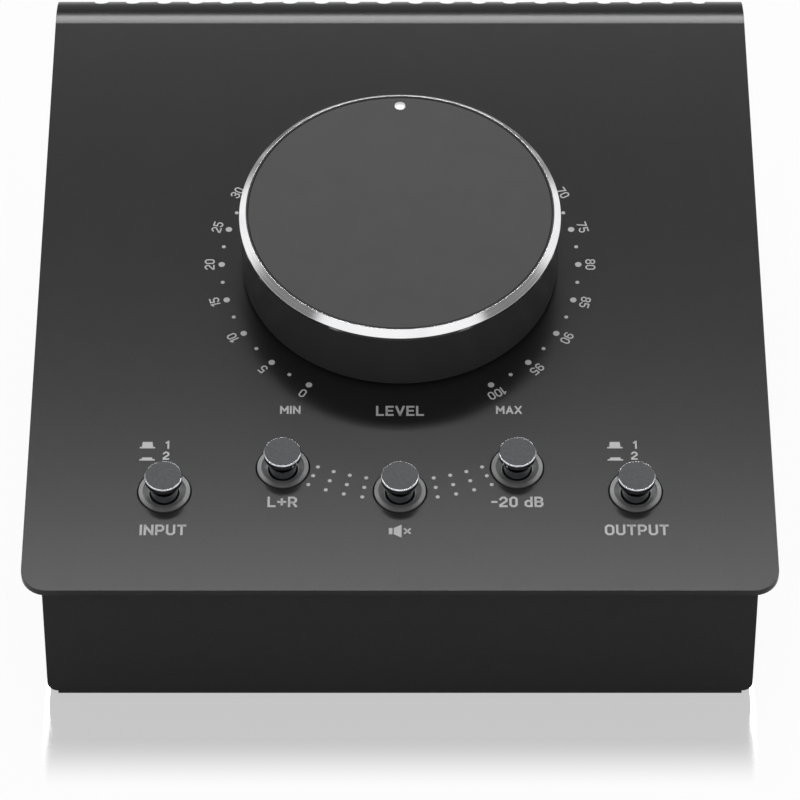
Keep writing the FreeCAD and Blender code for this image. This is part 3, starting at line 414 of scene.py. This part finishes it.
# plain signwriter's letters: the pen's lines in a cell one high, with cut corners
letterLook = {"gap": 0.37, "pen": 0.215}
letterLines = {
    "0": [loop(0.56, 0, 1, 0.17)],
    "1": [[(0.32, 0), (0.32, 1)], [(0.1, 0.8), (0.28, 0.95)]],
    "2": [[(0, 0.8), (0.17, 1), (0.39, 1), (0.56, 0.83), (0.56, 0.6), (0, 0.14), (0, 0), (0.56, 0)]],
    "3": [[(0, 0.84), (0.17, 1), (0.39, 1), (0.56, 0.84), (0.56, 0.66), (0.4, 0.52), (0.2, 0.52)],
          [(0.4, 0.52), (0.56, 0.38), (0.56, 0.16), (0.39, 0), (0.17, 0), (0, 0.16)]],
    "4": [[(0.42, 0), (0.42, 1)], [(0.37, 0.94), (0, 0.28), (0.58, 0.28)]],
    "5": [[(0.54, 1), (0.03, 1), (0.03, 0.57), (0.39, 0.57), (0.56, 0.42), (0.56, 0.16), (0.39, 0),
           (0.17, 0), (0, 0.16)]],
    "6": [[(0.54, 0.88), (0.4, 1), (0.17, 1), (0, 0.83), (0, 0.17), (0.17, 0), (0.39, 0),
           (0.56, 0.17), (0.56, 0.42), (0.42, 0.56), (0, 0.56)]],
    "7": [[(0, 1), (0.56, 1), (0.2, 0)]],
    "8": [loop(0.56, 0, 0.53, 0.15), loop(0.56, 0.53, 1, 0.15)],
    "9": [[(0.02, 0.12), (0.17, 0), (0.39, 0), (0.56, 0.17), (0.56, 0.83), (0.39, 1), (0.17, 1),
           (0, 0.83), (0, 0.58), (0.14, 0.44), (0.56, 0.44)]],
    "A": [[(0, 0), (0.34, 1)], [(0.34, 1), (0.68, 0)], [(0.2, 0.27), (0.48, 0.27)]],
    "B": [[(0, 0), (0, 1), (0.42, 1), (0.58, 0.86), (0.58, 0.66), (0.44, 0.52), (0, 0.52)],
          [(0.44, 0.52), (0.62, 0.37), (0.62, 0.16), (0.46, 0), (0, 0)]],
    "E": [[(0.56, 1), (0, 1), (0, 0), (0.56, 0)], [(0, 0.51), (0.5, 0.51)]],
    "I": [[(0, 0), (0, 1)]],
    "L": [[(0, 1), (0, 0), (0.54, 0)]],
    "M": [[(0, 0), (0, 1)], [(0.8, 0), (0.8, 1)], [(0.05, 0.93), (0.4, 0.36)], [(0.75, 0.93), (0.4, 0.36)]],
    "N": [[(0, 0), (0, 1)], [(0.68, 0), (0.68, 1)], [(0.06, 0.91), (0.62, 0.09)]],
    "O": [loop(0.66, 0, 1, 0.19)],
    "P": [[(0, 0), (0, 1), (0.44, 1), (0.62, 0.84), (0.62, 0.57), (0.44, 0.4), (0, 0.4)]],
    "R": [[(0, 0), (0, 1), (0.44, 1), (0.62, 0.84), (0.62, 0.59), (0.44, 0.43), (0, 0.43)],
          [(0.32, 0.43), (0.64, 0)]],
    "T": [[(0, 1), (0.62, 1)], [(0.31, 1), (0.31, 0)]],
    "U": [[(0, 1), (0, 0.18), (0.18, 0), (0.46, 0), (0.64, 0.18), (0.64, 1)]],
    "V": [[(0, 1), (0.34, 0)], [(0.68, 1), (0.34, 0)]],
    "X": [[(0, 0), (0.64, 1)], [(0, 1), (0.64, 0)]],
    "d": [[(0.54, 1), (0.54, 0), (0.16, 0), (0, 0.15), (0, 0.47), (0.16, 0.62), (0.54, 0.62)]],
    "+": [[(0, 0.5), (0.6, 0.5)], [(0.3, 0.2), (0.3, 0.8)]],
    "-": [[(0, 0.5), (0.36, 0.5)]],
    " ": [[(0, 0), (0.1, 0)]],
}


def lettering(word, height, place, turn=0.0, look=letterLook):
    # the word's strokes side by side, centred, scaled to its height, turned clockwise and put in place
    shapes = []
    pen = 0.0
    for letter in word:
        lines = letterLines[letter]
        if letter != " ":
            shapes += [(points + [pen, 0], faces)
                       for points, faces in (strokes(line, look["pen"]) for line in lines)]
        pen += max(x for line in lines for x, _ in line) + look["gap"]
    middle = np.array([(pen - look["gap"]) / 2, 0.5])
    spin = np.array([[math.cos(turn), -math.sin(turn)], [math.sin(turn), math.cos(turn)]])
    size = height / (1 + look["pen"])
    return [((points - middle) * size @ spin + np.asarray(place), faces) for points, faces in shapes]


# The dial: 0 to 100 over 300 degrees, a number and a big dot each 5, a small dot between
dialLook = {"circle": 35.93, "sweep": 300.0, "last": 100, "every": 5, "bigDot": 1.3, "smallDot": 0.8,
            "numberCircle": 38.35, "digit": 2.0, "gap": 0.3, "pen": 0.165}


def dialPlace(values, circle):
    # clockwise from up the slope, with the middle of the scale there
    angle = np.radians((np.asarray(values, float) / dialLook["last"] - 0.5) * dialLook["sweep"])
    return np.stack([circle * np.sin(angle), knobV + circle * np.cos(angle)], 1), angle


def makeDial(look):
    marks = np.arange(0, look["last"] + look["every"] / 4, look["every"] / 2)
    places, _ = dialPlace(marks, look["circle"])
    big = np.isclose(marks % look["every"], 0)
    printed("dial_dots", [dots(places, np.where(big, look["bigDot"], look["smallDot"]))])
    values = np.arange(0, look["last"] + 1, look["every"])
    places, angles = dialPlace(values, look["numberCircle"])
    printed("dial_numbers", [shape for value, place, angle in zip(values, places, angles)
                             for shape in lettering(str(value), look["digit"], place, angle, look)])


makeDial(dialLook)

# Three arcs of dots between the middle buttons
arcLook = {"centreV": 67.8, "radii": (41.2, 43.55, 45.9), "angles": (9.15, 13.7, 18.25, 22.8),
           "dot": 0.78, "corners": 16}


def makeArcs(look):
    # centre + radius (sin a, -cos a), for each angle to the left and to the right
    radii, angles = np.meshgrid(look["radii"], np.radians([*look["angles"], *(-a for a in look["angles"])]))
    centres = np.stack([(radii * np.sin(angles)).ravel(),
                        (look["centreV"] - radii * np.cos(angles)).ravel()], 1)
    printed("pattern_dots", [dots(centres, np.full(len(centres), look["dot"]), look["corners"])])


makeArcs(arcLook)

# Words by the knob and the buttons
wordLook = {
    "words": [("LEVEL", 0, 43.74, 2.5), ("MAX", 21.39, 43.99, 2.0), ("MIN", -21.55, 43.99, 2.0),
              ("L+R", -22.76, 21.27, 2.55), ("-20 dB", 22.70, 21.27, 2.55),
              ("INPUT", -45.65, 14.5, 2.55), ("OUTPUT", 45.59, 14.5, 2.55)],
    "choices": [("1", -45.5, 35.3, 2.0), ("2", -45.6, 32.6, 2.0),
                ("1", 45.8, 35.3, 2.0), ("2", 45.7, 32.6, 2.0)],
}
printed("panel_words", [shape for word, u, v, height in wordLook["words"] + wordLook["choices"]
                        for shape in lettering(word, height, (u, v))])

# Beside the choices: a button standing out, and one pushed in
latchLook = {"places": (-49.3, 41.95), "outV": 35.2, "inV": 32.2, "line": 3.0, "thickness": 0.34,
             "cap": 1.9, "capLow": 2.2, "rise": 1.25, "drop": 0.42, "foot": 0.8}


def makeLatchIcons(look):
    shapes = []
    for u in look["places"]:
        for v, rise in ((look["outV"], look["rise"]), (look["inV"], look["drop"])):
            half, low, high, foot = look["line"] / 2, look["capLow"] / 2, look["cap"] / 2, v - look["foot"]
            bar = [(-half, foot), (half, foot),
                   (half, foot + look["thickness"]), (-half, foot + look["thickness"])]
            top = foot + look["thickness"] + rise
            block = [(-low, foot + look["thickness"]), (low, foot + look["thickness"]),
                     (high, top), (-high, top)]
            shapes += [(np.array(corners) + [u, 0], [[0, 1, 2, 3]]) for corners in (bar, block)]
    printed("latch_icons", shapes)


makeLatchIcons(latchLook)

# Below the middle button: a small loudspeaker, crossed out
muteLook = {"place": (0.0, 14.2), "magnet": (-2.15, -1.45), "magnetHalf": 0.75, "cone": (-1.2, 0.3),
            "coneHalf": 1.55, "crossAt": 1.42, "cross": 0.5, "pen": 0.36}


def makeMuteIcon(look):
    small, wide = look["magnetHalf"], look["coneHalf"]
    back, front = look["magnet"]
    magnet = [(back, -small), (front, -small), (front, small), (back, small)]
    back, front = look["cone"]
    cone = [(back, -small), (front, -wide), (front, wide), (back, small)]
    shapes = [(np.array(corners), [[0, 1, 2, 3]]) for corners in (magnet, cone)]
    middle, half = look["crossAt"], look["cross"]
    shapes += [strokes([(middle - half, -slant * half), (middle + half, slant * half)], look["pen"])
               for slant in (1, -1)]
    printed("mute_icon", [(points + look["place"], faces) for points, faces in shapes])


makeMuteIcon(muteLook)
print("print laid on the panel")

# The table, the light and the camera
fullWhite = (1.0, 1.0, 1.0, 1.0)
studioLook = {
    "tableWhite": (0.9, 0.9, 0.9, 1.0),
    "tableHalf": 3.0, "footprint": (0.067, 0.076), "mirror": 0.42, "mirrorFull": 0.0135, "mirrorGone": 0.028,
    "mirrorSides": 12.0, "cameraWhite": 0.945, "mirrorRough": 0.06,
    "skyDiffuse": 0.5, "skyHigh": 0.22, "skyEdge": (0.37, 0.43), "frontWall": (-0.6, -0.48),
    "rearWall": (0.72, 0.88), "rearDim": 0.3,
}
# each lamp: tilt from overhead towards the back in degrees, distance, width, height, watts, and
# whether it lights matt surfaces or only shows in glossy ones
lamps = {
    "keyBox": (17.0, 1.3, 0.9, 0.14, 4.9, True),
    "rearBox": (44.9, 1.0, 0.9, 0.21, 8.0, False),
}
lampAim = (0.0, 0.0, 0.045)


def makeTable(look):
    # white acrylic that mirrors only what stands close by
    half = look["tableHalf"]
    mesh = bpy.data.meshes.new("table")
    mesh.from_pydata([(-half, -half, 0), (half, -half, 0), (half, half, 0), (-half, half, 0)],
                     [], [(0, 1, 2, 3)])
    table = bpy.data.objects.new("table", mesh)
    bpy.context.scene.collection.objects.link(table)
    material = emptyMaterial("whiteAcrylicTable")
    tree = material.node_tree
    seen = addNode(tree, "ShaderNodeLightPath", {}, {}).outputs["Is Camera Ray"]
    place = addNode(tree, "ShaderNodeTexCoord", {}, {}).outputs["Object"]
    folded = addNode(tree, "ShaderNodeVectorMath", {"operation": "ABSOLUTE"}, {0: place})
    past = addNode(tree, "ShaderNodeVectorMath", {"operation": "SUBTRACT"},
                   {0: folded.outputs[0], 1: (*look["footprint"], 0.0)})
    outside = addNode(tree, "ShaderNodeVectorMath", {"operation": "MAXIMUM"},
                      {0: past.outputs[0], 1: (0, 0, 0)})
    stretched = addNode(tree, "ShaderNodeVectorMath", {"operation": "MULTIPLY"},
                        {0: outside.outputs[0], 1: (look["mirrorSides"], 1.0, 1.0)})
    away = addNode(tree, "ShaderNodeVectorMath", {"operation": "LENGTH"}, {0: stretched.outputs[0]})
    share = addNode(tree, "ShaderNodeMapRange", {"interpolation_type": "SMOOTHSTEP"},
                    {"Value": away.outputs["Value"], "From Min": look["mirrorFull"],
                     "From Max": look["mirrorGone"], "To Min": look["mirror"], "To Max": 0.0})
    white = addNode(tree, "ShaderNodeMath", {"operation": "MULTIPLY"}, {0: seen, 1: look["cameraWhite"]})
    plain = addNode(tree, "ShaderNodeBsdfDiffuse", {}, {"Color": look["tableWhite"]})
    glow = addNode(tree, "ShaderNodeEmission", {}, {"Color": fullWhite, "Strength": 1.0})
    body = addNode(tree, "ShaderNodeMixShader", {},
                   {0: white.outputs[0], 1: plain.outputs[0], 2: glow.outputs[0]})
    gloss = addNode(tree, "ShaderNodeBsdfGlossy", {}, {"Color": fullWhite, "Roughness": look["mirrorRough"]})
    both = addNode(tree, "ShaderNodeMixShader", {},
                   {0: share.outputs[0], 1: body.outputs[0], 2: gloss.outputs[0]})
    addNode(tree, "ShaderNodeOutputMaterial", {}, {"Surface": both.outputs[0]})
    mesh.materials.append(material)


def makeSky(look):
    # white to the eye. Reflections show white walls, taller in front and dim behind, and a grey ceiling,
    # and matt surfaces get an even dim light
    world = bpy.data.worlds.new("studio")
    bpy.context.scene.world = world
    world.use_nodes = True
    tree = world.node_tree
    tree.nodes.clear()
    path = addNode(tree, "ShaderNodeLightPath", {}, {})
    direction = addNode(tree, "ShaderNodeTexCoord", {}, {}).outputs["Generated"]
    height = addNode(tree, "ShaderNodeSeparateXYZ", {}, {0: direction})
    walls = addNode(tree, "ShaderNodeMapRange", {"interpolation_type": "SMOOTHSTEP"},
                    {"Value": height.outputs["Z"], "From Min": look["skyEdge"][0],
                     "From Max": look["skyEdge"][1], "To Min": 1.0, "To Max": look["skyHigh"]})
    front = addNode(tree, "ShaderNodeMapRange", {"interpolation_type": "SMOOTHSTEP"},
                    {"Value": height.outputs["Y"], "From Min": look["frontWall"][0],
                     "From Max": look["frontWall"][1], "To Min": 1.0, "To Max": 0.0})
    behind = addNode(tree, "ShaderNodeMapRange", {"interpolation_type": "SMOOTHSTEP"},
                     {"Value": height.outputs["Y"], "From Min": look["rearWall"][0],
                      "From Max": look["rearWall"][1], "To Min": 1.0, "To Max": look["rearDim"]})
    room = addNode(tree, "ShaderNodeMath", {"operation": "MAXIMUM"},
                   {0: walls.outputs[0], 1: front.outputs[0]})
    shown = addNode(tree, "ShaderNodeMath", {"operation": "MULTIPLY"},
                    {0: room.outputs[0], 1: behind.outputs[0]})
    mirrored = addNode(tree, "ShaderNodeMath", {"operation": "MAXIMUM"},
                       {0: path.outputs["Is Glossy Ray"], 1: path.outputs["Is Transmission Ray"]})
    indirect = addNode(tree, "ShaderNodeMix", {"data_type": "FLOAT"},
                       {0: mirrored.outputs[0], 2: look["skyDiffuse"], 3: shown.outputs[0]})
    strength = addNode(tree, "ShaderNodeMath", {"operation": "MAXIMUM"},
                       {0: path.outputs["Is Camera Ray"], 1: indirect.outputs[0]})
    sky = addNode(tree, "ShaderNodeBackground", {}, {"Color": fullWhite, "Strength": strength.outputs[0]})
    addNode(tree, "ShaderNodeOutputWorld", {}, {"Surface": sky.outputs[0]})


def makeLamp(name, tilt, distance, width, height, watts, lightsMatt):
    # a soft box aimed at the middle of the panel
    data = bpy.data.lights.new(name, "AREA")
    data.shape = "RECTANGLE"
    data.size, data.size_y = width, height
    data.energy = watts
    lamp = bpy.data.objects.new(name, data)
    direction = Vector((0, math.sin(math.radians(tilt)), math.cos(math.radians(tilt))))
    lamp.location = Vector(lampAim) + direction * distance
    lamp.rotation_euler = direction.to_track_quat("Z", "Y").to_euler()
    lamp.visible_camera = False
    lamp.visible_diffuse = lightsMatt
    bpy.context.scene.collection.objects.link(lamp)


makeTable(studioLook)
makeSky(studioLook)
for lampName, lampLook in lamps.items():
    makeLamp(lampName, *lampLook)

# a long lens from the front, 38 degrees above the table
cameraLook = {"lens": 207.36, "sensor": 36.0, "place": (0.0, -0.74838, 0.60158), "pitch": 51.7975}


def makeCamera(look):
    data = bpy.data.cameras.new("camera")
    data.lens = look["lens"]
    data.sensor_width = look["sensor"]
    camera = bpy.data.objects.new("camera", data)
    camera.location = look["place"]
    camera.rotation_euler = (math.radians(look["pitch"]), 0, 0)
    bpy.context.scene.collection.objects.link(camera)
    bpy.context.scene.camera = camera


makeCamera(cameraLook)
bpy.context.scene.view_settings.view_transform = "Standard"
print("stage, lamps and camera set")
